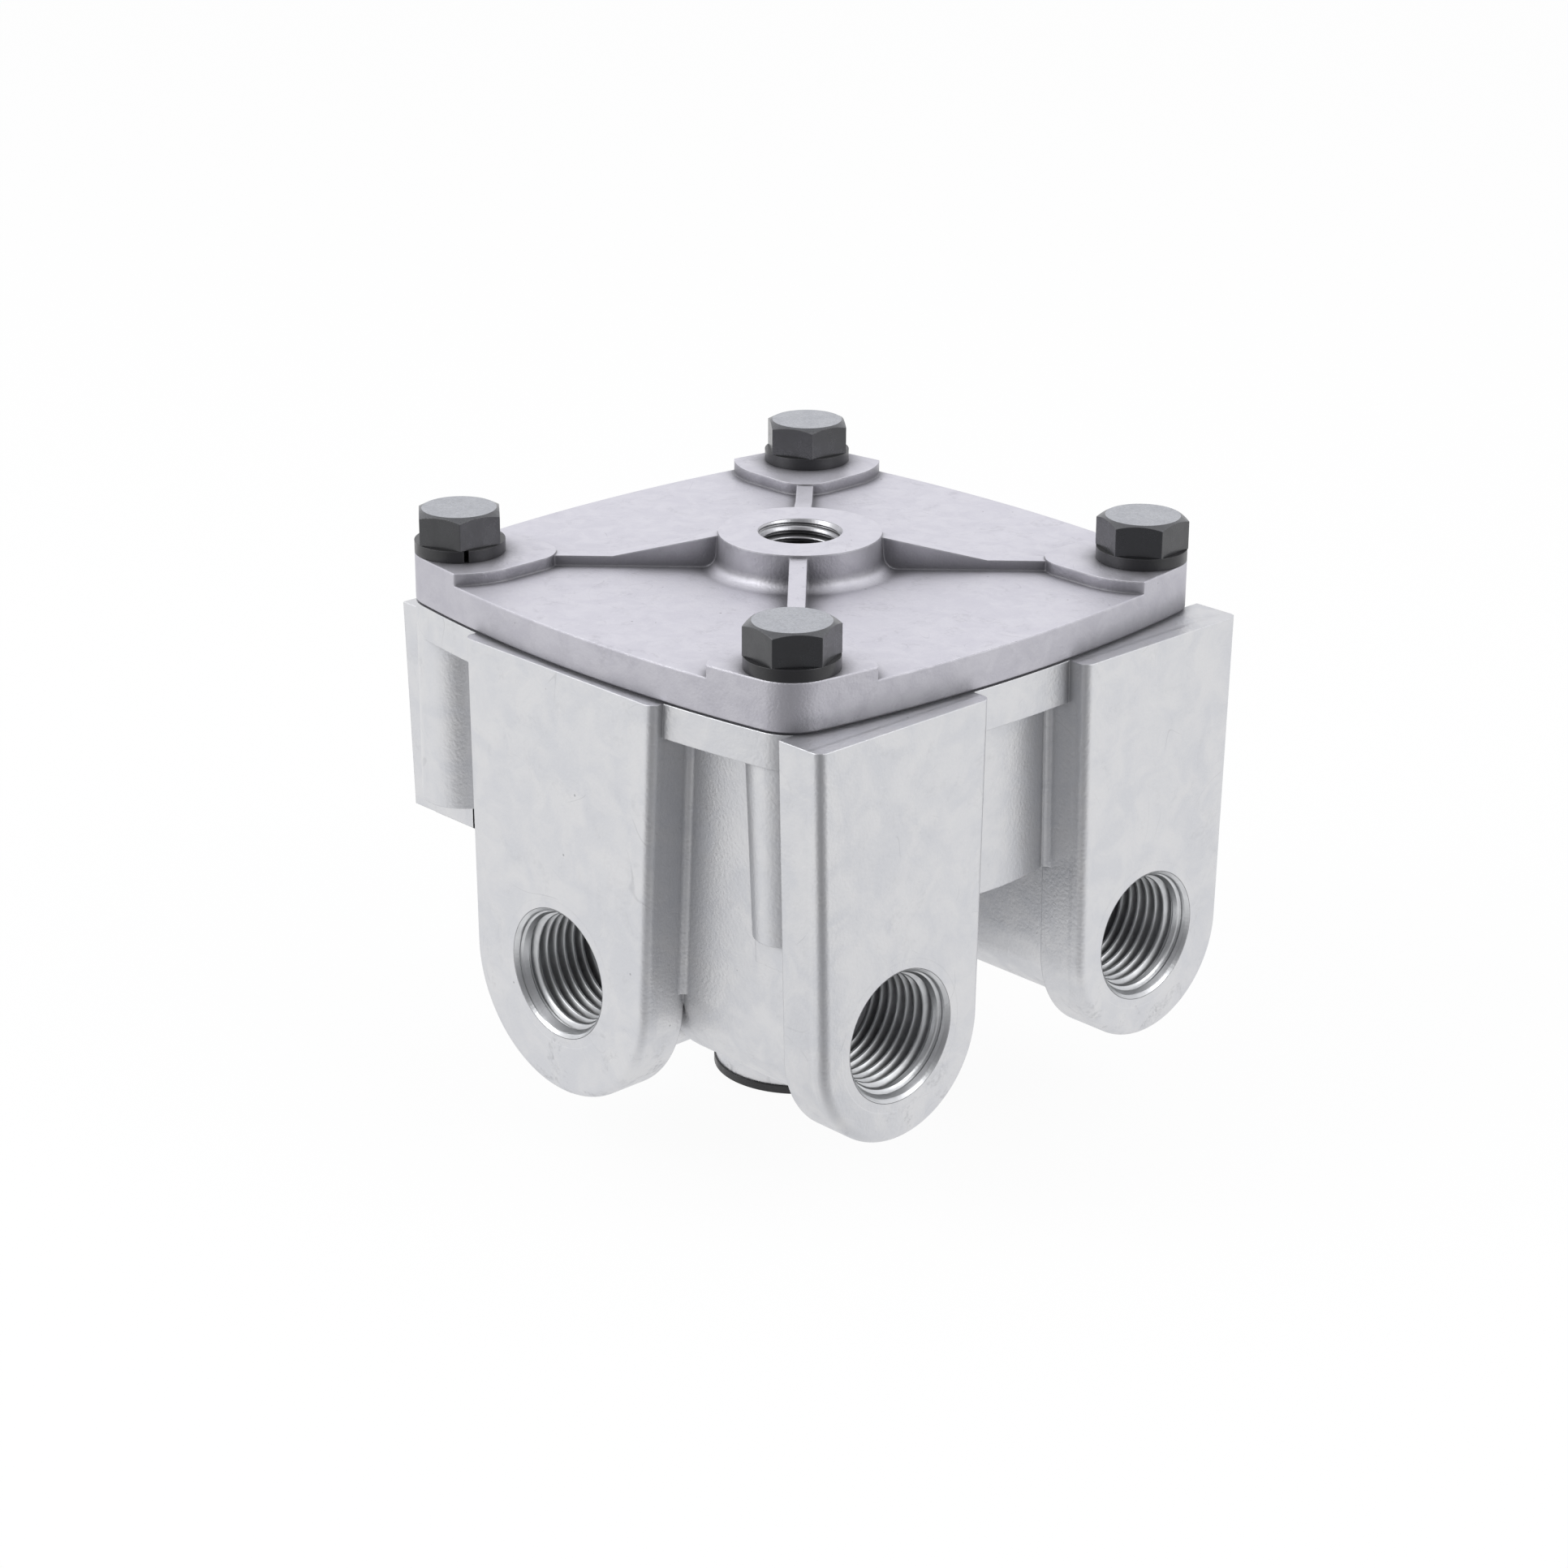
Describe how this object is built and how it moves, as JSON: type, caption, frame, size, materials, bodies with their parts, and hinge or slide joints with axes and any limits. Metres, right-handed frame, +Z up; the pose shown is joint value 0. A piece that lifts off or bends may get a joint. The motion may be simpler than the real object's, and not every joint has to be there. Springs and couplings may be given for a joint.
{
  "type": "relay valve",
  "caption": "Compressed-air relay valve: round piston housing under a bolted cover with a control port, a supply port, delivery ports, a side mounting pad and an exhaust below.",
  "frame": {"origin": "centre of the control port's mouth, on top of the cover's boss", "axes": "+Z up along the valve axis, -Y out of the supply port, +X out of the two delivery ports, -X out of the mounting pad"},
  "size_m": [0.1053, 0.101, 0.0976],
  "materials": {
    "cast_aluminium": "die cast, matte, satin on the machined ears",
    "cover_aluminium": "die cast, matte, fine grain",
    "black_steel": "black oxide",
    "machined_aluminium": "turned, satin",
    "brass": "turned, satin",
    "spring_steel": "drawn wire, oiled",
    "rubber": "matt, lightly greased",
    "black_plastic": "moulded, satin"
  },
  "bodies": {
    "housing": {"body": "cast_aluminium", "cover": "cover_aluminium", "cover_bolts": "black_steel", "lock_washers": "black_steel", "cover_seal": "rubber", "piston_spring": "spring_steel", "valve_spring": "spring_steel", "spring_washer": "spring_steel", "valve_guide": "brass", "guide_outer_ring": "rubber", "guide_inner_ring": "rubber", "guide_retainer": "spring_steel", "exhaust_cover": "black_plastic", "exhaust_diaphragm": "rubber", "diaphragm_washer": "spring_steel", "diaphragm_screw": "spring_steel"},
    "piston": {"relay_piston": "machined_aluminium", "piston_ring": "rubber"},
    "valve": {"valve_tube": "brass", "valve_seat_rubber": "rubber"}
  },
  "joints": [
    {"name": "piston_slide", "type": "slide", "parent": "housing", "child": "piston", "axis": [0, 0, -1], "range_m": [0, 0.0044], "stiffness_N_per_m": 2500, "springref_m": -0.006, "deforming": ["piston_spring"]},
    {"name": "valve_slide", "type": "slide", "parent": "housing", "child": "valve", "axis": [0, 0, -1], "range_m": [0, 0.0025], "stiffness_N_per_m": 1300, "springref_m": -0.004, "deforming": ["valve_spring"]}
  ],
  "couplings": [
    {"joint": "valve_slide", "follows": "piston_slide", "ratio": 0.568}
  ]
}
